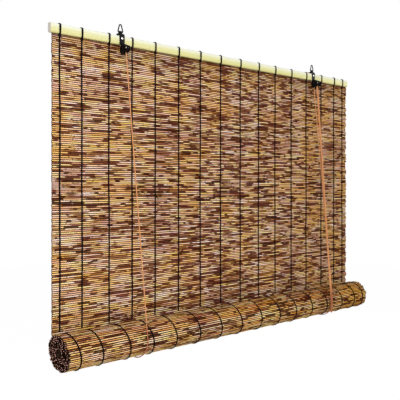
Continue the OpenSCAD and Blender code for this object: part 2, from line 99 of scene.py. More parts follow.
class Wire:
    """An output socket in a node tree. Sums and products of wires add Math nodes to the tree."""

    def __init__(self, tree, socket=None):
        self.tree = tree
        self.socket = socket

    def add(self, kind, settings=None, inputs=None, out=0):
        node = self.tree.nodes.new(kind)
        for name, value in (settings or {}).items():
            setattr(node, name, value)
        for key, value in (inputs or {}).items():
            if isinstance(value, Wire):
                self.tree.links.new(value.socket, node.inputs[key])
            else:
                node.inputs[key].default_value = value
        return Wire(self.tree, node.outputs[out]) if len(node.outputs) else node

    def other(self, out):
        return Wire(self.tree, self.socket.node.outputs[out])

    def math(self, operation, *values):
        return self.add("ShaderNodeMath", {"operation": operation}, dict(enumerate((self, *values))))

    def __add__(self, value):
        return self.math("ADD", value)

    def __sub__(self, value):
        return self.math("SUBTRACT", value)

    def __rsub__(self, value):
        return self.add("ShaderNodeMath", {"operation": "SUBTRACT"}, {0: value, 1: self})

    def __mul__(self, value):
        return self.math("MULTIPLY", value)

    def __truediv__(self, value):
        return self.math("DIVIDE", value)

    __radd__ = __add__
    __rmul__ = __mul__

    def xyz(self, x, y, z):
        return self.add("ShaderNodeCombineXYZ", None, {0: x, 1: y, 2: z})

    def split(self):
        parts = self.add("ShaderNodeSeparateXYZ", None, {0: self})
        return parts, parts.other(1), parts.other(2)

    def step(self, low, high):
        """0 below low, 1 above high, and smooth in between."""
        settings = {"interpolation_type": "SMOOTHSTEP"}
        return self.add("ShaderNodeMapRange", settings, {"Value": self, "From Min": low, "From Max": high})

    def mix(self, a, b):
        """Colour a where this wire is 0, and b where it is 1."""
        return self.add("ShaderNodeMix", {"data_type": "RGBA"}, {0: self, 6: a, 7: b}, out=2)

    def ramp(self, places, colours):
        """Colour that changes with this wire, with screen colours at the places."""
        ramped = self.add("ShaderNodeValToRGB", None, {"Fac": self})
        elements = ramped.socket.node.color_ramp.elements
        while len(elements) < len(places):
            elements.new(0.5)
        for element, place, colour in zip(elements, places, colours):
            element.position = place
            element.color = display(*colour)
        return ramped

    def times(self, colour):
        """This colour multiplied by another one."""
        settings = {"data_type": "RGBA", "blend_type": "MULTIPLY"}
        return self.add("ShaderNodeMix", settings, {0: 1.0, 6: self, 7: colour}, out=2)

    def noise(self, scale, detail=2.0, roughness=0.5):
        """Noise over this vector."""
        inputs = {"Vector": self, "Scale": scale, "Detail": detail, "Roughness": roughness}
        return self.add("ShaderNodeTexNoise", None, inputs)

    def bump(self, strength, distance):
        """Normal of a surface that this wire raises."""
        return self.add("ShaderNodeBump", None, {"Height": self, "Strength": strength, "Distance": distance})


def display(red, green, blue):
    """Linear colour of a surface that looks like this on a screen, in steps of 255."""
    values = [c / 255 for c in (red, green, blue)]
    return (*[c / 12.92 if c < 0.04045 else ((c + 0.055) / 1.055) ** 2.4 for c in values], 1.0)


def seen_directly(tree):
    """1 for what the camera sees, straight or mirrored or through glass, and 0 for light on surfaces."""
    path = tree.add("ShaderNodeLightPath", None, None, "Is Camera Ray")
    mirrored = path.math("MAXIMUM", path.other("Is Glossy Ray"))
    return mirrored.math("MAXIMUM", path.other("Is Transmission Ray"))


world = bpy.data.worlds.new("white_room")
world.use_nodes = True
bpy.context.scene.world = world
room = Wire(world.node_tree)
background = world.node_tree.nodes["Background"]
background.inputs["Color"].default_value = (1.0, 1.0, 1.0, 1.0)
room_strength = seen_directly(room) * (1.0 - ROOM_LIGHT) + ROOM_LIGHT
world.node_tree.links.new(room_strength.socket, background.inputs["Strength"])

floor_paint = bpy.data.materials.new("studio_floor")
floor_paint.use_nodes = True
floor_tree = Wire(floor_paint.node_tree)
floor_matt = floor_tree.add("ShaderNodeBsdfDiffuse", None, {"Color": FLOOR_GREY})
floor_white = floor_tree.add("ShaderNodeEmission", None, {"Strength": FLOOR_GLOW})
floor_share = seen_directly(floor_tree) * FLOOR_GLOW_SHARE
floor_mixed = floor_tree.add("ShaderNodeMixShader", None, {0: floor_share, 1: floor_matt, 2: floor_white})
floor_out = floor_paint.node_tree.nodes["Material Output"]
floor_paint.node_tree.links.new(floor_mixed.socket, floor_out.inputs["Surface"])

floor_mesh = bpy.data.meshes.new("studio_floor")
floor_corners = [(x * FLOOR_HALF, y * FLOOR_HALF, FLOOR_Z) for x, y in ((-1, -1), (1, -1), (1, 1), (-1, 1))]
floor_mesh.from_pydata(floor_corners, [], [(0, 1, 2, 3)])
floor_mesh.materials.append(floor_paint)
floor = new_object("studio_floor", floor_mesh)

for lamp_name, lamp_place, lamp_size, lamp_power in LAMPS:
    lamp_data = bpy.data.lights.new(lamp_name, "AREA")
    lamp_data.shape = "DISK"
    lamp_data.size = lamp_size
    lamp_data.energy = lamp_power
    lamp = new_object(lamp_name, lamp_data)
    lamp.location = lamp_place
    lamp.rotation_euler = (LAMP_AIM - lamp.location).to_track_quat("-Z", "Y").to_euler()


# The cords. Twisted tan cotton, 3 mm thick. Each runs from a knot on the slat down behind the mat, under
# the roll and up in front to a pulley; the left one then crosses behind the slat to the right hanger.
CORD_D = 0.003
CORD_LAY = 0.011
CORD_GROOVE = 0.13
CORD_STEP = 0.0011
STRANDS = 3
SECTION_POINTS = 12

joints = {joint["name"]: joint for joint in frame["record"]["behaviour"]["joints"]}
LIFT = joints["roll_lift"]["range_m"][1]
roll_axis = Vector(joints["roll_turn"]["pos_m"])
left_axle = Vector(joints["left_sheave_spin"]["pos_m"])
outer_axle = Vector(joints["right_outer_spin"]["pos_m"])
inner_axle = Vector(joints["right_inner_spin"]["pos_m"])
slat_low, slat_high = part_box("top_slat")
mat_low, mat_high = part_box("reed_mat")
sheave_low, sheave_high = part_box("left_sheave")
tie_left, tie_right = [
    sum(map(Vector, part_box(node)), Vector()) / 2 for node in ("left_tie_knot", "right_tie_knot")
]

LOOP_R = tie_left.y - roll_axis.y
PULLEY_R = (sheave_high[2] - sheave_low[2] - CORD_D) / 2
TRANSFER_Y = 0.009
TRANSFER_BEND = 0.006
pulley_reach = Vector((left_axle.y - roll_axis.y, left_axle.z - roll_axis.z))
pulley_angle = math.atan2(pulley_reach.y, pulley_reach.x)
FRONT_ANGLE = pulley_angle + math.acos((LOOP_R - PULLEY_R) / pulley_reach.length)
CROSS_ANGLE = pulley_angle + math.acos((LOOP_R + PULLEY_R) / pulley_reach.length)
PULL_ASIDE = 0.0045
PULL_APART = 0.0040
FIRST_PULL_X = tie_right.x - PULL_ASIDE
SECOND_PULL_X = FIRST_PULL_X - PULL_APART
LOOP_HUG = 0.0007
LOOP_POINTS = 48
BEND_POINTS = 8
PULLEY_POINTS = 10
OVER_POINTS = 18
DARKER_BELOW = roll_axis.z + 0.015
PLAIN_ABOVE = roll_axis.z + 0.06


def about(axis, radius, angle, x):
    """Point at x on a circle round an axis that runs along the slat."""
    return Vector((x, axis.y + radius * math.cos(angle), axis.z + radius * math.sin(angle)))


def about_arc(axis, radius, start, end, x, count):
    return [about(axis, radius, start + (end - start) * i / count, x) for i in range(count + 1)]


def bend_arc(x, start, end):
    """Quarter bend of the cord behind the slat."""
    turn = [start + (end - start) * i / BEND_POINTS for i in range(BEND_POINTS + 1)]
    centre = Vector((x, TRANSFER_Y - TRANSFER_BEND, left_axle.z + PULLEY_R))
    return [centre + TRANSFER_BEND * Vector((math.cos(angle), math.sin(angle), 0.0)) for angle in turn]


def straight(start, end, count=24):
    return [start.lerp(end, i / count) for i in range(count + 1)]


def new_grower(name, numbers, counts=(), takes_geometry=False, **others):
    """Geometry Nodes tree with named inputs and a finish; returns it with the wires of its inputs."""
    tree = bpy.data.node_groups.new(name, "GeometryNodeTree")
    kinds = {"Geometry": "NodeSocketGeometry"} if takes_geometry else {}
    kinds.update(dict.fromkeys(numbers, "NodeSocketFloat"))
    kinds.update(dict.fromkeys(counts, "NodeSocketInt"))
    kinds.update(Finish="NodeSocketMaterial", **others)
    for label, kind in kinds.items():
        tree.interface.new_socket(label, in_out="INPUT", socket_type=kind)
    tree.interface.new_socket("Geometry", in_out="OUTPUT", socket_type="NodeSocketGeometry")
    entry = tree.nodes.new("NodeGroupInput")
    wires = {socket.name: Wire(tree, socket) for socket in entry.outputs if socket.name}
    return tree, Wire(tree), wires


def move(build, geometry, **where):
    """The geometry with its points moved, to a Position or by an Offset."""
    return build.add("GeometryNodeSetPosition", None, {"Geometry": geometry, **where})


def store(build, geometry, name, value, kind="FLOAT", domain="POINT"):
    """The geometry with a named value kept on it."""
    inputs = {"Geometry": geometry, "Name": name, "Value": value}
    return build.add("GeometryNodeStoreNamedAttribute", {"data_type": kind, "domain": domain}, inputs)


def circle(build, diameter, points):
    """Round section of a cord or thread."""
    inputs = {"Resolution": points, "Radius": diameter * 0.5}
    return build.add("GeometryNodeCurvePrimitiveCircle", {"mode": "RADIUS"}, inputs)


def sweep(build, route, section):
    """Closed tube along a route."""
    inputs = {"Curve": route, "Profile Curve": section, "Fill Caps": True}
    return build.add("GeometryNodeCurveToMesh", None, inputs)


def end_grower(build, geometry, material):
    """Closes a tree: real geometry, one material, out."""
    solid = build.add("GeometryNodeRealizeInstances", None, {"Geometry": geometry})
    painted = build.add("GeometryNodeSetMaterial", None, {"Geometry": solid, "Material": material})
    build.add("NodeGroupOutput", None, {"Geometry": painted})


def grow(name, tree, start, values):
    """Object whose mesh the tree grows from the start data, with the tree's inputs set to values."""
    piece = new_object(name, start)
    modifier = piece.modifiers.new("grow", "NODES")
    modifier.node_group = tree
    for item in tree.interface.items_tree:
        if item.item_type == "SOCKET" and item.in_out == "INPUT" and item.name in values:
            modifier[item.identifier] = values[item.name]
    bpy.context.view_layer.update()
    depsgraph = bpy.context.evaluated_depsgraph_get()
    grown = piece.evaluated_get(depsgraph)
    mesh = bpy.data.meshes.new_from_object(grown, preserve_all_data_layers=True, depsgraph=depsgraph)
    piece.modifiers.remove(modifier)
    bpy.data.objects.remove(piece)
    finish = next(material for material in mesh.materials if material)
    mesh.materials.clear()
    mesh.materials.append(finish)
    mesh.polygons.foreach_set("material_index", [0] * len(mesh.polygons))
    return new_object(name, mesh)


def smooth(piece, angle=60.0):
    """Smooth shading, with the edges kept sharp that turn by more than this angle."""
    piece.data.shade_smooth()
    piece.data.set_sharp_from_angle(angle=math.radians(angle))
    return piece


def new_finish(name):
    material = bpy.data.materials.new(name)
    material.use_nodes = True
    return material, Wire(material.node_tree)


def set_surface(material, sockets):
    shader = material.node_tree.nodes["Principled BSDF"]
    for key, value in sockets.items():
        if isinstance(value, Wire):
            material.node_tree.links.new(value.socket, shader.inputs[key])
        else:
            shader.inputs[key].default_value = value


def attribute(paint, name, out="Fac"):
    return paint.add("ShaderNodeAttribute", {"attribute_name": name}, None, out)


def object_place(paint):
    return paint.add("ShaderNodeTexCoord", None, None, "Object")


# cotton: tan strands with painted shade, darker and redder, in the grooves between them, and fine fibres
# along the strands
cord_finish, paint = new_finish("tan_cord")
strand = attribute(paint, "strand")
fibres = object_place(paint).noise(2600.0, 3.0, 0.6)
soiling = object_place(paint).noise(38.0, 2.0)
# painted shade: the strands are darker and redder towards the grooves between them
cord_colour = strand.step(-0.9, 0.3).mix(display(148, 80, 40), display(226, 152, 94))
cord_colour = (fibres.step(0.35, 0.75) * 0.5).mix(cord_colour, display(240, 190, 136))
cord_colour = (soiling.step(0.5, 0.8) * 0.4).mix(cord_colour, display(190, 112, 56))
cord_height = object_place(paint).split()[2]
# the cord is painted darker over the lower part of the roll, with the same painted shade in its grooves
on_roll = 1.0 - cord_height.step(DARKER_BELOW, PLAIN_ABOVE)
lower_cord_colour = strand.step(-0.9, 0.3).mix(display(108, 46, 26), display(170, 96, 56))
cord_colour = (on_roll * 0.85).mix(cord_colour, lower_cord_colour)
set_surface(cord_finish, {
    "Base Color": cord_colour,
    "Roughness": 0.75 + fibres * 0.2,
    "Normal": fibres.bump(0.35, 0.0004),
})

CORD_INPUTS = ("Diameter", "Lay", "Groove", "Step")
cord_tree, build, given = new_grower("twisted_cord", CORD_INPUTS, takes_geometry=True)
section = circle(build, given["Diameter"], SECTION_POINTS)
lobe = (build.add("GeometryNodeInputIndex") * (2 * math.pi * STRANDS / SECTION_POINTS)).math("COSINE")
section = store(build, section, "strand", lobe)
section_place = build.add("GeometryNodeInputPosition")
swell = 1.0 - given["Groove"] * (1.0 - lobe)
swollen = section_place.add("ShaderNodeVectorMath", {"operation": "SCALE"}, {0: section_place, 3: swell})
section = move(build, section, Position=swollen)
resampled = {"Curve": given["Geometry"], "Length": given["Step"]}
route = build.add("GeometryNodeResampleCurve", {"mode": "LENGTH"}, resampled)
run = build.add("GeometryNodeSplineParameter", None, None, "Length")
twist = run / given["Lay"] * (2 * math.pi)
route = build.add("GeometryNodeSetCurveTilt", None, {"Curve": route, "Tilt": twist})
tube = sweep(build, route, section)
end_grower(build, tube, given["Finish"])


def path_curve(name, points):
    curve = bpy.data.curves.new(name, "CURVE")
    curve.dimensions = "3D"
    spline = curve.splines.new("POLY")
    spline.points.add(len(points) - 1)
    for spot, point in zip(spline.points, points):
        spot.co = (*point, 1.0)
    return curve


def cord_piece(name, points):
    """Twisted cord along points."""
    values = {
        "Diameter": CORD_D,
        "Lay": CORD_LAY,
        "Groove": CORD_GROOVE,
        "Step": CORD_STEP,
        "Finish": cord_finish,
    }
    return grow(name, cord_tree, path_curve(name, points), values)


def lay_cord(node, body, points):
    """Cord piece along points, standing for its CAD node and riding on that node's body."""
    piece = smooth(cord_piece(node + "_twist", points))
    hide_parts(node)
    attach(piece, body)
    return piece


def shorten(piece, top, bottom):
    """Gives the piece a mesh of its own."""
    1.0 - LIFT / (top - bottom)
    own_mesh(piece)


def lay_lift_cord(node, points):
    """Cord piece on the headrail, with a mesh of its own."""
    heights = [point.z for point in points]
    piece = lay_cord(node, "headrail", points)
    shorten(piece, max(heights), min(heights))
    return piece


for side, tie, top_angle in (("left", tie_left, FRONT_ANGLE), ("right", tie_right, CROSS_ANGLE)):
    back_foot = about(roll_axis, LOOP_R, 0.0, tie.x)
    lay_lift_cord(side + "_back_cord", straight(Vector((tie.x, tie.y, slat_low[2])), back_foot))
    loop = []
    for i in range(LOOP_POINTS + 1):
        hug = LOOP_HUG * math.sin(math.pi * i / LOOP_POINTS) ** 2
        loop.append(about(roll_axis, LOOP_R - hug, (top_angle - 2 * math.pi) * i / LOOP_POINTS, tie.x))
    lay_cord(side + "_cord_loop", "cord_loops", loop)

left_foot = about(roll_axis, LOOP_R, FRONT_ANGLE, tie_left.x)
left_top = about(left_axle, PULLEY_R, FRONT_ANGLE, left_axle.x)
lay_lift_cord("left_front_cord", straight(left_foot, left_top))
lift_angle = CROSS_ANGLE - math.pi
right_foot = about(roll_axis, LOOP_R, CROSS_ANGLE, tie_right.x)
right_top = about(outer_axle, PULLEY_R, lift_angle, outer_axle.x)
lay_lift_cord("right_lift_cord", straight(right_foot, right_top))
over_sheave = about_arc(outer_axle, PULLEY_R, lift_angle, FRONT_ANGLE, outer_axle.x, OVER_POINTS)
lay_cord("right_sheave_cord", "headrail", over_sheave)
transfer_route = about_arc(left_axle, PULLEY_R, FRONT_ANGLE, math.pi / 2, left_axle.x, PULLEY_POINTS)
transfer_route += bend_arc(left_axle.x + TRANSFER_BEND, math.pi, math.pi / 2)
transfer_route += bend_arc(inner_axle.x - TRANSFER_BEND, math.pi / 2, 0.0)
transfer_route += about_arc(inner_axle, PULLEY_R, math.pi / 2, FRONT_ANGLE, inner_axle.x, PULLEY_POINTS)
lay_cord("transfer_cord", "headrail", transfer_route)

# the two free ends: taut from the lock down to the front of the roll, where a knot joins them
pull_pieces = []
pulls = (("first_pull_cord", outer_axle, FIRST_PULL_X), ("second_pull_cord", inner_axle, SECOND_PULL_X))
for node, axle, foot_x in pulls:
    pull_top = about(axle, PULLEY_R, FRONT_ANGLE, axle.x)
    pull_route = straight(pull_top, about(roll_axis, LOOP_R, FRONT_ANGLE, foot_x))
    pull_pieces.append((lay_lift_cord(node, pull_route), pull_route))


# The knots. The cords end in overhand knots: one on the slat at each side, drawn tight over a notch, and one
# that joins the two pull cords. Each is its own cord, wound round itself and pulled into a lump.
KNOT_D = 0.009
KNOT_H = 1.2 * KNOT_D
KNOT_WAIST = 0.22
KNOT_GAP = 0.0001
KNOT_POINTS = 14
TIE_KNOT_R = 0.42 * KNOT_D
TIE_TURNS = 2.6
TIE_STUB = 0.003
TIE_TUCK = 0.002
PULL_TURNS = 3.2
PULL_COIL_H = 0.86 * KNOT_H
TAIL_DROP = 0.003
TAIL_POINTS = 5
END_ASIDE = 0.0012
END_SPREAD = 0.0016
END_OUT = 0.0006


def knot_route(foot, radius, height, turns, up=1.0):
    """Cord that rises or drops from a point and winds round itself."""
    count = int(turns * KNOT_POINTS)
    wind = CORD_D / 2 + KNOT_GAP
    route = []
    for i in range(count + 1):
        share = i / count
        angle = 2 * math.pi * turns * share
        bulge = radius - wind - KNOT_WAIST * radius * abs(2 * share - 1) ** 2
        rise = wind + (height - 2 * wind) * share
        route.append(foot + Vector((bulge * math.cos(angle), bulge * math.sin(angle), up * rise)))
    return route


def join_pieces(name, pieces):
    """One mesh of several finished ones."""
    whole = bmesh.new()
    for piece in pieces:
        whole.from_mesh(piece.data)
    mesh = bpy.data.meshes.new(name)
    whole.to_mesh(mesh)
    whole.free()
    mesh.materials.append(pieces[0].data.materials[0])
    for piece in pieces:
        bpy.data.objects.remove(piece)
    return smooth(new_object(name, mesh))


for side, tie in (("left", tie_left), ("right", tie_right)):
    low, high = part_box(side + "_tie_knot")
    seat = Vector((tie.x, tie.y, slat_high[2]))
    stub = straight(Vector((tie.x, tie.y, low[2])), seat + Vector((0.0, 0.0, TIE_STUB)), 6)
    coil = knot_route(seat, TIE_KNOT_R, high[2] - slat_high[2], TIE_TURNS)
    tuck = straight(coil[-1], seat + Vector((0.0, 0.0, TIE_TUCK)), 6)
    knot = join_pieces(side + "_tie_knot_wound", [cord_piece("part", route) for route in (stub, coil, tuck)])
    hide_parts(side + "_tie_knot")
    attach(knot, "headrail")

knot_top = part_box("pull_knot")[0][2] + KNOT_H
knot_top = Vector(((FIRST_PULL_X + SECOND_PULL_X) / 2, roll_axis.y - LOOP_R, knot_top))
tails = []
for foot_x in (FIRST_PULL_X, SECOND_PULL_X):
    tail = about_arc(roll_axis, LOOP_R, FRONT_ANGLE, math.pi, foot_x, TAIL_POINTS)
    tail_foot = Vector((foot_x, knot_top.y, knot_top.z - KNOT_H * 0.3))
    tail += straight(tail[-1] - Vector((0.0, 0.0, TAIL_DROP)), tail_foot, 8)
    tails.append(cord_piece("part", tail))
coil = knot_route(knot_top, KNOT_D / 2, PULL_COIL_H, PULL_TURNS, -1.0)
ends = []
for sign in (-1, 1):
    end_top = knot_top + Vector((sign * END_ASIDE, 0.0, -KNOT_H * 0.4))
    end_tip = knot_top + Vector((sign * END_SPREAD, -END_OUT, -KNOT_H))
    ends.append(cord_piece("part", straight(end_top, end_tip, 6)))
pull_knot = join_pieces("pull_knot_wound", [*tails, cord_piece("part", coil), *ends])
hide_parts("pull_knot")
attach(pull_knot, "cord_loops")

for piece, pull_route in pull_pieces:
    pull_length = (pull_route[0] - pull_route[-1]).length


# The top slat. A planed batten of split bamboo with rounded long edges, cream with fine fibres along it. It
# has a notch at the back for each tied cord, and its sawn ends show the fibres as dots.
SLAT_EDGE_R = 0.0035
EDGE_STEPS = 6
NOTCH_HALF = 0.0018
NOTCH_WALL = 0.00005
SLAT_STEP = 0.05
SLAT_STEPS = 11
SLAT_SHARP = 50.0
HIGHLIGHT_TOP = (slat_high[2] - 0.014, slat_high[2] - 0.001)
YELLOW_FOOT = (slat_low[2], slat_low[2] + 0.009)
SAWN_END = (slat_high[0] - 0.0004, slat_high[0] - 0.0001)

bamboo_finish, paint = new_finish("planed_bamboo")
place = object_place(paint)
slat_x, slat_y, slat_z = place.split()
fibre = paint.xyz(slat_x * 3.0, slat_y * 330.0, slat_z * 330.0).noise(1.0, 4.0, 0.65)
broad = paint.xyz(slat_x * 1.4, slat_y * 60.0, slat_z * 60.0).noise(1.0, 2.0)
dots = paint.xyz(slat_x * 20.0, slat_y * 1500.0, slat_z * 1500.0).noise(1.0, 1.0)
bamboo_colour = broad.step(0.3, 0.7).mix(display(206, 203, 138), display(218, 215, 162))
bamboo_colour = (fibre.step(0.52, 0.72) * 0.55).mix(bamboo_colour, display(192, 181, 108))
# painted highlight: the top of the slat is painted paler, where the light falls on it
bamboo_colour = (slat_z.step(*HIGHLIGHT_TOP) * 0.85).mix(bamboo_colour, display(226, 227, 214))
bamboo_colour = ((1.0 - slat_z.step(*YELLOW_FOOT)) * 0.6).mix(bamboo_colour, display(198, 185, 108))
sawn = slat_x.math("ABSOLUTE").step(*SAWN_END)
sawn_colour = dots.step(0.5, 0.65).mix(display(214, 208, 198), display(160, 148, 134))
set_surface(bamboo_finish, {
    "Base Color": sawn.mix(bamboo_colour, sawn_colour),
    "Roughness": 0.45 + fibre * 0.3,
    "Normal": fibre.bump(0.25, 0.0006),
})


def rounded_outline(centre, width, height, radius, steps):
    """Points of a rounded rectangle in the plane across the slat, as (y, z)."""
    points = []
    for corner, (side_y, side_z) in enumerate(((1, 1), (-1, 1), (-1, -1), (1, -1))):
        for i in range(steps + 1):
            angle = math.pi / 2 * (corner + i / steps)
            y = centre[0] + side_y * (width / 2 - radius) + radius * math.cos(angle)
            z = centre[1] + side_z * (height / 2 - radius) + radius * math.sin(angle)
            points.append((y, z))
    return points


def loft(name, stations, rings, material):
    """Closed bar along X through one outline of (y, z) points at each station."""
    verts = [(x, y, z) for x, ring in zip(stations, rings) for y, z in ring]
    n = len(rings[0])
    faces = [tuple(range(n))[::-1], tuple(range(len(verts) - n, len(verts)))]
    for i in range(len(stations) - 1):
        for k in range(n):
            a, b = i * n + k, i * n + (k + 1) % n
            faces.append((a, b, b + n, a + n))
    mesh = bpy.data.meshes.new(name)
    mesh.from_pydata(verts, [], faces)
    mesh.materials.append(material)
    whole = bmesh.new()
    whole.from_mesh(mesh)
    bmesh.ops.recalc_face_normals(whole, faces=whole.faces)
    whole.to_mesh(mesh)
    whole.free()
    return smooth(new_object(name, mesh), SLAT_SHARP)


slat_depth = slat_high[1] - slat_low[1]
slat_height = slat_high[2] - slat_low[2]
slat_centre = (0.0, (slat_high[2] + slat_low[2]) / 2)
slat_outline = rounded_outline(slat_centre, slat_depth, slat_height, SLAT_EDGE_R, EDGE_STEPS)
notch_floor = tie_left.y - NOTCH_HALF
notched_outline = [(min(y, notch_floor), z) for y, z in slat_outline]
slat_stations = [(slat_low[0], False), (slat_high[0], False)]
slat_stations += [(x * SLAT_STEP, False) for x in range(-SLAT_STEPS, SLAT_STEPS + 1)]
for tie in (tie_left, tie_right):
    for side in (-1, 1):
        slat_stations.append((tie.x + side * NOTCH_HALF, False))
        slat_stations.append((tie.x + side * (NOTCH_HALF - NOTCH_WALL), True))
slat_stations.sort()
slat = loft("bamboo_top_slat", [x for x, _ in slat_stations],
            [notched_outline if cut else slat_outline for _, cut in slat_stations], bamboo_finish)
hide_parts("top_slat")
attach(slat, "headrail")


# The bottom slat. A thinner batten of the same bamboo. The mat's lower end is tied to it and wound up on it,
# so that it lies in the core of the roll, and only its sawn ends show.
MERGE_DISTANCE = 1e-6
FLAT_DEGREES = 4.0
DRESS_SHARP = 40.0
batten_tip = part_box("bottom_slat")[1][0]
DARK_END = (batten_tip - 0.012, batten_tip - 0.001)


def dress_node(node, material, body, edge=0.0, angle=30.0):
    """A CAD node with its triangles merged, its edges rounded and a finish, standing for that node."""
    mesh = frame["nodes"][node].data.copy()
    whole = bmesh.new()
    whole.from_mesh(mesh)
    bmesh.ops.remove_doubles(whole, verts=whole.verts, dist=MERGE_DISTANCE)
    limit = math.radians(FLAT_DEGREES)
    bmesh.ops.dissolve_limit(whole, angle_limit=limit, verts=whole.verts, edges=whole.edges)
    whole.to_mesh(mesh)
    whole.free()
    mesh.materials.clear()
    mesh.materials.append(material)
    piece = new_object(node + "_dressed", mesh)
    if edge:
        rounding = piece.modifiers.new("rounded_edges", "BEVEL")
        rounding.width = edge
        rounding.segments = 2
        rounding.limit_method = "ANGLE"
        rounding.angle_limit = math.radians(angle)
        rounding.use_clamp_overlap = True
        bpy.context.view_layer.update()
        depsgraph = bpy.context.evaluated_depsgraph_get()
        rounded = bpy.data.meshes.new_from_object(piece.evaluated_get(depsgraph), depsgraph=depsgraph)
        piece.modifiers.remove(rounding)
        piece.data = rounded
    smooth(piece, DRESS_SHARP)
    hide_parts(node)
    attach(piece, body)


batten_finish, paint = new_finish("batten_bamboo")
batten_x, batten_y, batten_z = object_place(paint).split()
batten_grain = paint.xyz(batten_x * 4.0, batten_y * 400.0, batten_z * 400.0).noise(1.0, 4.0, 0.65)
# the ends are painted darker over their last 12 mm, near black at the tip
batten_end = batten_x.math("ABSOLUTE").step(*DARK_END)
batten_colour = batten_grain.step(0.35, 0.7).mix(display(150, 110, 70), display(104, 70, 44))
set_surface(batten_finish, {
    "Base Color": batten_end.mix(batten_colour, display(52, 32, 24)),
    "Roughness": 0.6 + batten_grain * 0.25,
    "Specular IOR Level": 0.05,
    "Normal": batten_grain.bump(0.3, 0.0005),
})
dress_node("bottom_slat", batten_finish, "roll")


# The hangers and hook rings. Pressed steel straps folded over the slat, with a rolled barrel on top for a
# bent wire ring and two cheeks in front for the pulleys, all dipped in gloss black enamel.
STRAP_EDGE = 0.00028

enamel_finish, paint = new_finish("black_enamel")
place = object_place(paint)
peel = place.noise(900.0, 2.0)
rubbed = place.noise(260.0, 4.0, 0.7)
set_surface(enamel_finish, {
    "Base Color": (rubbed.step(0.62, 0.75) * 0.5).mix(display(13, 12, 14), display(40, 37, 38)),
    "Roughness": 0.34 + rubbed.step(0.4, 0.8) * 0.2,
    "Specular IOR Level": 0.08,
    "Coat Weight": 0.05,
    "Coat Roughness": 0.15,
    "Normal": peel.bump(0.12, 0.0003),
})
for side in ("left", "right"):
    dress_node(side + "_hanger", enamel_finish, "headrail", STRAP_EDGE)
    dress_node(side + "_hook_ring", enamel_finish, "hook_rings")


# The rivets, axles and pins. Turned steel with bright zinc plating and domed heads, set through the hangers:
# a rivet through the slat, an axle for the pulleys and a pin at the nose of each pair of cheeks.
PIN_EDGE = 0.0002
PIN_ANGLE = 20.0

zinc_finish, paint = new_finish("bright_zinc")
place = object_place(paint)
crystals = place.add("ShaderNodeTexVoronoi", None, {"Vector": place, "Scale": 1400.0}, "Color")
crystal_tone = crystals.add("ShaderNodeSeparateColor", None, {"Color": crystals})
scuffs = place.noise(1100.0, 3.0, 0.65)
set_surface(zinc_finish, {
    "Base Color": crystal_tone.mix(display(206, 206, 202), display(232, 232, 228)),
    "Metallic": 1.0,
    "Roughness": 0.22 + scuffs.step(0.4, 0.8) * 0.3,
    "Normal": scuffs.bump(0.1, 0.0002),
})
for node in ("left_slat_rivet", "right_slat_rivet", "left_keeper_pin", "right_cam_pin"):
    dress_node(node, zinc_finish, "headrail", PIN_EDGE, PIN_ANGLE)

# the axles were dipped with the hangers, so their zinc is stained black
stained_finish, paint = new_finish("blackened_zinc")
stain = object_place(paint).noise(700.0, 4.0, 0.65)
set_surface(stained_finish, {
    "Base Color": stain.step(0.5, 0.75).mix(display(14, 13, 14), display(44, 42, 42)),
    "Specular IOR Level": 0.1,
    "Roughness": 0.35 + stain * 0.3,
    "Normal": stain.bump(0.1, 0.0002),
})
for node in ("left_axle", "right_axle"):
    dress_node(node, stained_finish, "headrail", PIN_EDGE, PIN_ANGLE)


# The pulleys and the lock cam. Grooved nylon sheaves turn on the axles. A toothed cam on the right nose
# pin grips both pull cords against their sheaves.
SHEAVE_EDGE = 0.00015
SHEAVE_ANGLE = 25.0
CAM_EDGE = 0.00012
CAM_ANGLE = 40.0

nylon_finish, paint = new_finish("black_nylon")
place = object_place(paint)
_, nylon_y, nylon_z = place.split()
from_axle = paint.xyz(0.0, nylon_y - left_axle.y, nylon_z - left_axle.z)
radius = from_axle.add("ShaderNodeVectorMath", {"operation": "LENGTH"}, {0: from_axle}, 1)
turning = (radius * 9000.0).math("SINE")
speckle = place.noise(1500.0, 2.0)
worn = (1.0 - radius.step(PULLEY_R * 0.7, PULLEY_R)) * speckle.step(0.3, 0.7)
set_surface(nylon_finish, {
    "Base Color": (worn * 0.6).mix(display(26, 24, 23), display(70, 56, 44)),
    "Roughness": 0.4 + speckle * 0.2,
    "Normal": turning.bump(0.1, 0.0002),
})
for node in ("left_sheave", "right_sheave_outer", "right_sheave_inner"):
    dress_node(node, nylon_finish, node, SHEAVE_EDGE, SHEAVE_ANGLE)
dress_node("lock_cam", stained_finish, "lock_cam", CAM_EDGE, CAM_ANGLE)


# The reed mat. Raw reeds side by side, each a little thinner, bent or longer than the next, mottled from
# straw to purple brown along its length, with dark joints where leaves grew. The threads hold them.
REED_PITCH = 0.0046
REED_T = 0.0042
REED_INSET = 0.0035
REED_RAGGED = 0.0036
REED_SLIP = 0.0006
REED_KINK = 0.0011
REED_FILL = 1.02
REED_SWELL = 0.35
REED_GIRTHS = (0.88, 1.06)
REED_HEIGHTS = (1.0, 1.14)
REED_SEED = 11
REED_SIDES = 8
REED_LENGTHS = 14
JOINT_SPACING = 0.19
SLAT_SHADOW_REACH = 0.06
SWAY_OUT = 0.0014
SWAY_UP = 0.005
ROLL_OUT = 0.0065
AGES = (0.30, 0.42, 0.52, 0.62, 0.74)
RAW_COLOURS = ((210, 152, 112), (234, 186, 146), (243, 206, 168), (246, 224, 194), (242, 196, 118))
GOLD_LIT_COLOURS = ((226, 126, 50), (252, 184, 104), (255, 220, 152), (255, 238, 186), (255, 204, 100))
YELLOW_TINT = (1.0, 1.0, 0.65, 1.0)
MAUVE_TINT = (1.0, 0.97, 1.18, 1.0)
hanging = round((mat_high[2] - mat_low[2]) / REED_PITCH)
reed_length = mat_high[0] - mat_low[0] - REED_INSET
roll_low, roll_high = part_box("reed_roll")
roll_length = roll_high[0] - roll_low[0] + ROLL_OUT
DARK_TIP = (roll_length / 2 - 0.005, roll_length / 2 - 0.001)

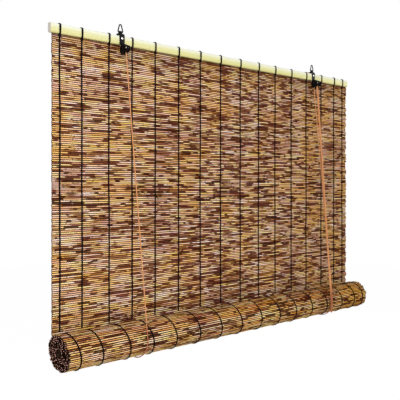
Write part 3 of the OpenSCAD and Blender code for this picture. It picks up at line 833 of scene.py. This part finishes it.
reed_finish, paint = new_finish("raw_reed")
local_x, local_y, local_z = attribute(paint, "reed_local", "Vector").split()
tone = attribute(paint, "reed_tone")
shift = attribute(paint, "reed_shift")
rolled = attribute(paint, "reed_rolled")
cut_end = attribute(paint, "reed_end")
run = local_x + shift * 7.0
lane = tone * 61.0
blind_x, blind_y, blind_z = object_place(paint).split()
right_part = blind_x.step(0.0, 0.6)
# painted sheen: towards the left end the reeds get fewer dark marks and narrower painted shade between them
left_sheen = 1.0 - blind_x.step(-0.62, -0.05)
group = object_place(paint).noise(13.0, 2.0) - 0.38 - left_sheen * 0.56 - right_part * 0.41
group = group - rolled * (1.0 - right_part) * 0.2
fine = paint.xyz(run * 90.0, lane + local_y * 3.0, local_z * 3.0).noise(1.0, 3.0, 0.7)
fibres = paint.xyz(run * 22.0, lane + local_y * 8.0, local_z * 8.0).noise(1.0, 3.0, 0.65)
frayed = (fibres - 0.5) * 0.09
patches = paint.xyz(run * 8.0, lane, local_z * 0.12).noise(1.0, 3.0, 0.6)
streaks = paint.xyz(run * 12.0 + 31.0, lane, local_z * 0.1).noise(1.0, 2.0, 0.55) + group * 0.08 + frayed
dashes = paint.xyz(run * 17.0 + 77.0, lane, local_z * 0.08).noise(1.0, 2.0, 0.5) + group * 0.065 + frayed
age = patches + (tone - 0.5) * 0.3
raw_colour = age.ramp(AGES, RAW_COLOURS)
gold_lit_colour = age.ramp(AGES, GOLD_LIT_COLOURS)
# the roll is painted in a brighter, golder ramp, more so towards the right: partly the roll's own golder
# tone, partly painted light where the lamps leave the roll dim
gilt_and_light = rolled * (0.35 + blind_x.step(-0.6, 0.3) * 0.65)
reed_colour = gilt_and_light.mix(raw_colour, gold_lit_colour)
weather = object_place(paint).noise(9.0, 1.0)
# random golden patches are the reeds' own tone; the golden rise towards the right, strongest on the roll, is
# partly painted light
golden_and_light = weather.step(0.48, 0.60) * 0.4 + right_part * (rolled * 0.35 + 0.12)
reed_colour = golden_and_light.mix(reed_colour, display(240, 174, 76))
reed_colour = ((1.0 - weather.step(0.36, 0.46)) * 0.4).mix(reed_colour, display(186, 130, 110))
reed_colour = (streaks.step(0.52, 0.58) * 0.8).mix(reed_colour, display(128, 66, 28))
dash_colour = (shift * 7.0).math("FRACT").mix(display(54, 13, 4), display(122, 60, 46))
reed_colour = (dashes.step(0.53, 0.57) * 0.95).mix(reed_colour, dash_colour)
reed_colour = (fibres.step(0.5, 0.7) * 0.3).mix(reed_colour, display(148, 86, 40))
reed_colour = (fine.step(0.58, 0.78) * 0.25).mix(reed_colour, display(244, 220, 176))
# painted shadow of the slat: the reeds in the top 60 mm of the mat are painted darker
slat_shadow = blind_z.step(mat_high[2] - SLAT_SHADOW_REACH, mat_high[2])
reed_colour = (slat_shadow * 0.35).mix(reed_colour, display(116, 66, 34))
joint_phase = (run / JOINT_SPACING + shift * 3.0).math("FRACT") - 0.5
joint_mark = 1.0 - joint_phase.math("ABSOLUTE").step(0.006, 0.02)
reed_colour = (joint_mark * 0.5).mix(reed_colour, display(58, 18, 0))
shimmer = paint.xyz(blind_x * 26.0, blind_y * 140.0, blind_z * 140.0).noise(1.0, 2.0)
reed_colour = reed_colour.times(shimmer.step(0.36, 0.64).mix(YELLOW_TINT, MAUVE_TINT))
# painted shade in the gaps between the reeds, wider on the right and on the roll and narrower at the left end
groove_width = right_part * 0.05 + rolled * 0.08 - left_sheen * 0.04
groove_shade = local_z.math("ABSOLUTE").step(0.32 - groove_width, 0.62 - groove_width)
reed_colour = (groove_shade * 0.97).mix(reed_colour, display(36, 8, 0))
# painted shade: the turns inside the roll and the first reed under the slat are darkened
reed_colour = (attribute(paint, "reed_inner") * 0.9).mix(reed_colour, display(20, 5, 2))
tip_shade = local_x.math("ABSOLUTE").step(*DARK_TIP)
reed_colour = (tip_shade * rolled * 0.97).mix(reed_colour, display(18, 5, 2))
pith = (local_y * local_y + local_z * local_z).step(0.16, 0.36)
rind_colour = tone.step(0.2, 0.8).mix(display(240, 180, 160), display(48, 17, 11))
end_colour = pith.mix(rind_colour, display(8, 2, 0))
set_surface(reed_finish, {
    "Base Color": cut_end.mix(reed_colour, end_colour),
    "Roughness": 0.55 + fine * 0.3,
    "Specular IOR Level": 0.02,
    "Normal": (fine + fibres + joint_mark * 0.6).bump(0.3, 0.0005),
})


def sway(build):
    """The mat's slow waves: how far a place on it lies from its true plane and height."""
    x, _, z = build.add("GeometryNodeInputPosition").split()
    free = (mat_high[2] - z).step(0.0, 0.08)
    dip = build.xyz(x * 2.4, 0.0, z * 5.0).noise(1.0, 2.0) - 0.5
    dish = build.xyz(x * 1.8, 7.0, z * 1.8).noise(1.0, 1.0) - 0.5
    return build.xyz(0.0, dish * free * SWAY_OUT, dip * free * SWAY_UP)


def named(build, name, kind="FLOAT"):
    return build.add("GeometryNodeInputNamedAttribute", {"data_type": kind}, {"Name": name})


def draw(build, low, high, seed):
    """Random number for each item."""
    inputs = {2: low, 3: high, "Seed": seed}
    return build.add("FunctionNodeRandomValue", {"data_type": "FLOAT"}, inputs, 1)


def plain_reed(build, given):
    """One reed along X: a tube with closed ends, which keeps its own coordinates."""
    sizes = {"Vertices": REED_SIDES, "Side Segments": REED_LENGTHS, "Radius": 1.0, "Depth": 1.0}
    tube = build.add("GeometryNodeMeshCylinder", {"fill_type": "NGON"}, sizes)
    across, upward, lengthwise = build.add("GeometryNodeInputPosition").split()
    local = build.xyz(lengthwise * given["Length"], across, upward)
    tube = store(build, tube, "reed_local", local, "FLOAT_VECTOR")
    facing = build.add("GeometryNodeInputNormal").split()[2]
    is_end = facing.math("ABSOLUTE").math("GREATER_THAN", 0.7)
    tube = store(build, tube, "reed_end", is_end, "FLOAT", "FACE")
    tube = store(build, tube, "reed_rolled", given["Rolled"])
    half_t = given["Thickness"] * 0.5
    half_h = given["Pitch"] * (0.5 * REED_FILL)
    laid = build.xyz(lengthwise * given["Length"], across * half_t, upward * half_h)
    return move(build, tube, Position=laid)


def set_reeds(build, given, points, turn, shade):
    """A reed on each point, with its own tone, length and place, and uneven thickness along it."""
    points = store(build, points, "reed_tone", draw(build, 0.0, 1.0, given["Seed"]))
    points = store(build, points, "reed_shift", draw(build, 0.0, 1.0, given["Seed"] + 1))
    points = store(build, points, "reed_inner", shade)
    points = store(build, points, "reed_axis", build.add("GeometryNodeInputPosition"), "FLOAT_VECTOR")
    longer = draw(build, -1.0, 1.0, given["Seed"] + 3) * given["Ragged"]
    slide = longer * 0.5 + draw(build, -1.0, 1.0, given["Seed"] + 2) * given["Slip"]
    points = move(build, points, Offset=build.xyz(slide, 0.0, 0.0))
    stretch = 1.0 + longer / given["Length"]
    girth = draw(build, *REED_GIRTHS, given["Seed"] + 4)
    height = draw(build, *REED_HEIGHTS, given["Seed"] + 5)
    reeds = build.add("GeometryNodeInstanceOnPoints", None, {
        "Points": points,
        "Instance": plain_reed(build, given),
        "Rotation": build.xyz(turn, 0.0, 0.0),
        "Scale": build.xyz(stretch, girth, height),
    })
    reeds = build.add("GeometryNodeRealizeInstances", None, {"Geometry": reeds})
    x, y, z = build.add("GeometryNodeInputPosition").split()
    _, axis_y, axis_z = named(build, "reed_axis", "FLOAT_VECTOR").split()
    own_tone = named(build, "reed_tone")
    swell = (build.xyz(x * 9.0, own_tone * 90.0, 0.0).noise(1.0, 2.0) - 0.5) * REED_SWELL
    kink = (build.xyz(x * 6.0, own_tone * 90.0, 5.0).noise(1.0, 2.0) - 0.5) * given["Kink"]
    return move(build, reeds, Offset=build.xyz(0.0, (y - axis_y) * swell, (z - axis_z) * swell + kink))


REED_INPUTS = ("Pitch", "Thickness", "Length", "Ragged", "Slip", "Kink", "Rolled", "Middle")
REED_COUNTS = ("Reeds", "Seed")
mat_tree, build, given = new_grower("hanging_reeds", (*REED_INPUTS, "Top", "Shade"), REED_COUNTS)
rows = build.add("GeometryNodeMeshLine", {"mode": "OFFSET"}, {
    "Count": given["Reeds"],
    "Start Location": build.xyz(given["Middle"], 0.0, given["Top"] - given["Pitch"] * 0.5),
    "Offset": build.xyz(0.0, 0.0, given["Pitch"] * -1.0),
})
reeds = set_reeds(build, given, rows, 0.0, given["Shade"])
end_grower(build, move(build, reeds, Offset=sway(build)), given["Finish"])

reed_values = {
    "Reeds": hanging,
    "Pitch": REED_PITCH,
    "Thickness": REED_T,
    "Length": reed_length,
    "Ragged": REED_RAGGED,
    "Slip": REED_SLIP,
    "Kink": REED_KINK,
    "Rolled": 0.0,
    "Seed": REED_SEED,
    "Finish": reed_finish,
    "Top": mat_high[2],
    "Middle": REED_INSET / 2,
    "Shade": 0.0,
}
reed_start = bpy.data.meshes.new("reed_start")
reed_mat = smooth(grow("hanging_reed_mat", mat_tree, reed_start.copy(), reed_values))
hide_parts("reed_mat")
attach(reed_mat, "headrail")
shorten(reed_mat, mat_high[2], mat_low[2])

# the first reed lies close under the slat, and stops short of the cords that pass behind the hangers
CORD_ROOM = 0.0026
HEADER_GAP = 0.0002
HEADER_RAGGED = 0.0004
HEADER_KINK = 0.0003
# the first reed gets painted shade, for the shadow of the slat
HEADER_SHADE = 0.75
HEADER_SEED = 70
header_values = {**reed_values, "Reeds": 1, "Ragged": HEADER_RAGGED, "Kink": HEADER_KINK}
header_values.update({"Shade": HEADER_SHADE, "Top": slat_low[2] - HEADER_GAP})
header_stops = [mat_low[0] + REED_INSET]
for axle in (left_axle, inner_axle):
    header_stops += [axle.x - CORD_ROOM, axle.x + CORD_ROOM]
header_stops.append(mat_high[0])
header_pieces = []
for number, (start, end) in enumerate(zip(header_stops[0::2], header_stops[1::2])):
    own_values = {"Length": end - start, "Middle": (start + end) / 2, "Seed": HEADER_SEED + number}
    header_pieces.append(grow("header_part", mat_tree, reed_start.copy(), {**header_values, **own_values}))
header = join_pieces("header_reed", header_pieces)
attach(header, "headrail")


# The reed roll. The lower part of the mat, wound up from the bottom slat: the reeds lie on a spiral, and each
# turn rests on the one inside it. The ends show as dark dots.
LAYER_GAP = 0.0004
CORE_R = 0.0098
ROLL_SLIP = 0.0022
ROLL_KINK = 0.0008
ROLL_SKEW = 0.006
SKEW_BACK = 0.3
OUTER_TURN = 2.05 * math.pi
ROLL_SEED = 47
roll_r = -roll_axis.y
layer_pitch = REED_T + LAYER_GAP
roll_reeds = int(math.pi * (roll_r ** 2 - CORE_R ** 2) / layer_pitch / REED_PITCH)


def spiral_turn(given, wound):
    """Radius and angle on the spiral, at a length of mat from where it runs on to the roll."""
    radius = (given["Radius"] * given["Radius"] - given["Layer"] * wound / math.pi).math("SQRT")
    return radius, (given["Radius"] - radius) / given["Layer"] * (2 * math.pi)


ROLL_INPUTS = ("Radius", "Layer", "Skew", "Axis Y", "Axis Z")
roll_tree, build, given = new_grower("rolled_reeds", (*REED_INPUTS, *ROLL_INPUTS), REED_COUNTS)
rows = build.add("GeometryNodeMeshLine", {"mode": "OFFSET"}, {"Count": given["Reeds"]})
turn_r, turn_a = spiral_turn(given, (build.add("GeometryNodeInputIndex") + 0.5) * given["Pitch"])
back = turn_r * turn_a.math("COSINE")
drop = turn_r * turn_a.math("SINE")
skewed = given["Middle"] + given["Skew"] * (drop + back * SKEW_BACK) / given["Radius"]
rows = move(build, rows, Position=build.xyz(skewed, given["Axis Y"] + back, given["Axis Z"] - drop))
rows = store(build, rows, "reed_turn", turn_a)
turned = named(build, "reed_turn")
# reeds inside the outer turn of the roll get painted shade
reeds = set_reeds(build, given, rows, turned * -1.0, turned.math("GREATER_THAN", OUTER_TURN))
end_grower(build, reeds, given["Finish"])

roll_values = {
    **reed_values,
    "Reeds": roll_reeds,
    "Length": roll_length,
    "Middle": -ROLL_OUT / 2,
    "Slip": ROLL_SLIP,
    "Kink": ROLL_KINK,
    "Rolled": 1.0,
    "Seed": ROLL_SEED,
    "Radius": roll_r,
    "Layer": layer_pitch,
    "Skew": ROLL_SKEW,
    "Axis Y": roll_axis.y,
    "Axis Z": roll_axis.z,
}
reed_roll = smooth(grow("rolled_reed_mat", roll_tree, reed_start.copy(), roll_values))
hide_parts("reed_roll")
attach(reed_roll, "roll")


# The binding threads. Dark waxed thread, two strands in front of the reeds and one behind, twined between
# every two of them. Above, the same thread is wrapped over the slat, and below it goes round with the roll.
THREAD_PITCH = 0.080
EDGE_THREAD = 0.020
INNER_THREADS = 14
HAND_SPACING_MM = (2.5, 3.4, 2.8, -4.9, -8.5, -5.5, -3.9, -2.3, 2.2, 5.1, 4.2, 5.6, 4.9, 9.0, 4.0, -5.8)
THREAD_D = 0.0026
THREAD_SIDES = 6
THREAD_CREST = REED_T / 2 + THREAD_D * 0.35
SEAM_DEPTH = 0.0018
THREAD_ZIGZAG = 0.0009
THREAD_WANDER = 0.006
THREAD_SKEW = 0.009
FRONT_SHORT = 8
FIRST_TURN = 0.9
thread_places = [(i - (INNER_THREADS - 1) / 2) * THREAD_PITCH for i in range(INNER_THREADS)]
thread_places = [mat_low[0] + EDGE_THREAD, *thread_places, mat_high[0] - EDGE_THREAD]
thread_places = [place + 0.001 * aside for place, aside in zip(thread_places, HAND_SPACING_MM)]

thread_finish, paint = new_finish("dark_thread")
place = object_place(paint)
plies = place.noise(1800.0, 3.0, 0.6)
set_surface(thread_finish, {
    "Base Color": plies.step(0.45, 0.75).mix(display(9, 4, 5), display(36, 21, 21)),
    "Roughness": 0.6 + plies * 0.3,
    "Specular IOR Level": 0.05,
    "Normal": plies.bump(0.4, 0.0003),
})


def twined(build, given):
    """How far a strand lies out and aside at its points, which go over a reed and into a seam by turns."""
    order = build.add("GeometryNodeInputIndex")
    out = given["Seam"] + (given["Crest"] - given["Seam"]) * order.math("MODULO", 2.0)
    return out, ((order - 1.0) * (math.pi / 2)).math("COSINE") * given["Aside"]


def set_strands(build, given, line):
    """A strand along the line at each of the threads' places."""
    strand = sweep(build, line, circle(build, given["Diameter"], THREAD_SIDES))
    return build.add("GeometryNodeInstanceOnPoints", None, {"Points": given["Geometry"], "Instance": strand})


TWINE_INPUTS = ("Diameter", "Pitch", "Crest", "Seam", "Aside")
twine_tree, build, given = new_grower("twined_threads", (*TWINE_INPUTS, "Top"), ("Reeds",), True)
line = build.add("GeometryNodeMeshLine", {"mode": "OFFSET"}, {
    "Count": given["Reeds"] * 2 + 1,
    "Start Location": build.xyz(0.0, 0.0, given["Top"]),
    "Offset": build.xyz(0.0, 0.0, given["Pitch"] * -0.5),
})
out, aside = twined(build, given)
line = move(build, line, Offset=build.xyz(aside, out, 0.0))
line = build.add("GeometryNodeMeshToCurve", None, {"Mesh": line})
threads = set_strands(build, given, line)
threads = build.add("GeometryNodeRealizeInstances", None, {"Geometry": threads})
threads = move(build, threads, Offset=sway(build))
spot_x, _, spot_z = build.add("GeometryNodeInputPosition").split()
wander = build.xyz(spot_x * 3.0, 0.0, spot_z * 6.0).noise(1.0, 2.0) - 0.5
wander = wander * (mat_high[2] - spot_z).step(0.0, 0.05) * THREAD_WANDER
threads = move(build, threads, Offset=build.xyz(wander, 0.0, 0.0))
end_grower(build, threads, given["Finish"])

thread_spots = bpy.data.meshes.new("thread_spots")
thread_spots.from_pydata([(x, 0.0, 0.0) for x in thread_places], [], [])
twine_values = {"Diameter": THREAD_D, "Finish": thread_finish, "Pitch": REED_PITCH, "Top": mat_high[2]}
front_reeds = hanging - FRONT_SHORT
twine_pieces = []
for reeds, out, aside in ((front_reeds, -1, 1), (front_reeds, -1, -1), (hanging, 1, 1)):
    strand_values = {**twine_values, "Reeds": reeds, "Aside": aside * THREAD_ZIGZAG}
    strand_values.update({"Crest": out * THREAD_CREST, "Seam": out * SEAM_DEPTH})
    twine_pieces.append(grow("twine_part", twine_tree, thread_spots.copy(), strand_values))
mat_threads = join_pieces("twined_mat_threads", twine_pieces)
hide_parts("mat_threads")
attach(mat_threads, "headrail")
shorten(mat_threads, mat_high[2], mat_low[2])

# round the roll: the same twined strand on the outermost turn of the spiral
wind_tree, build, given = new_grower("wound_threads", (*TWINE_INPUTS, *ROLL_INPUTS), ("Reeds",), True)
line = build.add("GeometryNodeMeshLine", {"mode": "OFFSET"}, {"Count": given["Reeds"] * 2 + 1})
turn_r, turn_a = spiral_turn(given, build.add("GeometryNodeInputIndex") * given["Pitch"] * 0.5)
out, aside = twined(build, given)
back = (turn_r + out) * turn_a.math("COSINE")
drop = (turn_r + out) * turn_a.math("SINE")
skewed = aside + given["Skew"] * drop / given["Radius"]
line = move(build, line, Position=build.xyz(skewed, given["Axis Y"] + back, given["Axis Z"] - drop))
line = build.add("GeometryNodeMeshToCurve", None, {"Mesh": line})
end_grower(build, set_strands(build, given, line), given["Finish"])

wind_values = {**roll_values, **twine_values, "Crest": THREAD_CREST, "Seam": SEAM_DEPTH, "Skew": THREAD_SKEW}
wind_values["Reeds"] = int(2 * math.pi * roll_r / REED_PITCH * FIRST_TURN)
wind_pieces = []
for aside in (-THREAD_ZIGZAG, THREAD_ZIGZAG):
    wind_pieces.append(grow("wind_part", wind_tree, thread_spots.copy(), {**wind_values, "Aside": aside}))
roll_threads = join_pieces("wound_roll_threads", wind_pieces)
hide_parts("roll_threads")
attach(roll_threads, "roll")

# over the slat: two turns side by side, which lean a little and end in short drops to the mat
WRAP_D = 0.0028
WRAP_LEAN = 0.0022
WRAP_SINK = 0.0006
WRAP_LAPS = 2
WRAP_STEPS = 4
WRAP_START = 3
wrap_tree, build, given = new_grower("slat_wraps", ("Diameter",), (), True, Route="NodeSocketObject")
as_made = {"transform_space": "ORIGINAL"}
route = build.add("GeometryNodeObjectInfo", as_made, {"Object": given["Route"]}, "Geometry")
end_grower(build, set_strands(build, given, route), given["Finish"])

wrap_off = WRAP_D - 2 * WRAP_SINK
wrap_edge = SLAT_EDGE_R + wrap_off / 2
turn = rounded_outline(slat_centre, slat_depth + wrap_off, slat_height + wrap_off, wrap_edge, WRAP_STEPS)
first = len(turn) // 2 + WRAP_START
turn = turn[first:] + turn[:first]
drop_top = slat_low[2] - WRAP_D * 0.3
drop_foot = mat_high[2] - REED_PITCH * 0.5
wrap_route = [Vector((-WRAP_LEAN, -THREAD_CREST, z)) for z in (drop_foot, drop_top)]
for lap in range(WRAP_LAPS):
    for i, (y, z) in enumerate(reversed(turn)):
        share = (lap + i / len(turn)) / WRAP_LAPS
        wrap_route.append(Vector(((share - 0.5) * 2 * WRAP_LEAN, y, z)))
wrap_route += [Vector((WRAP_LEAN, -THREAD_CREST, z)) for z in (drop_top, drop_foot)]
wrap_guide = new_object("wrap_route", path_curve("wrap_route", wrap_route))
wrap_values = {"Diameter": WRAP_D, "Finish": thread_finish, "Route": wrap_guide}
slat_wraps = smooth(grow("slat_thread_wraps", wrap_tree, thread_spots.copy(), wrap_values))
bpy.data.objects.remove(wrap_guide)
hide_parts("slat_loops")
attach(slat_wraps, "headrail")
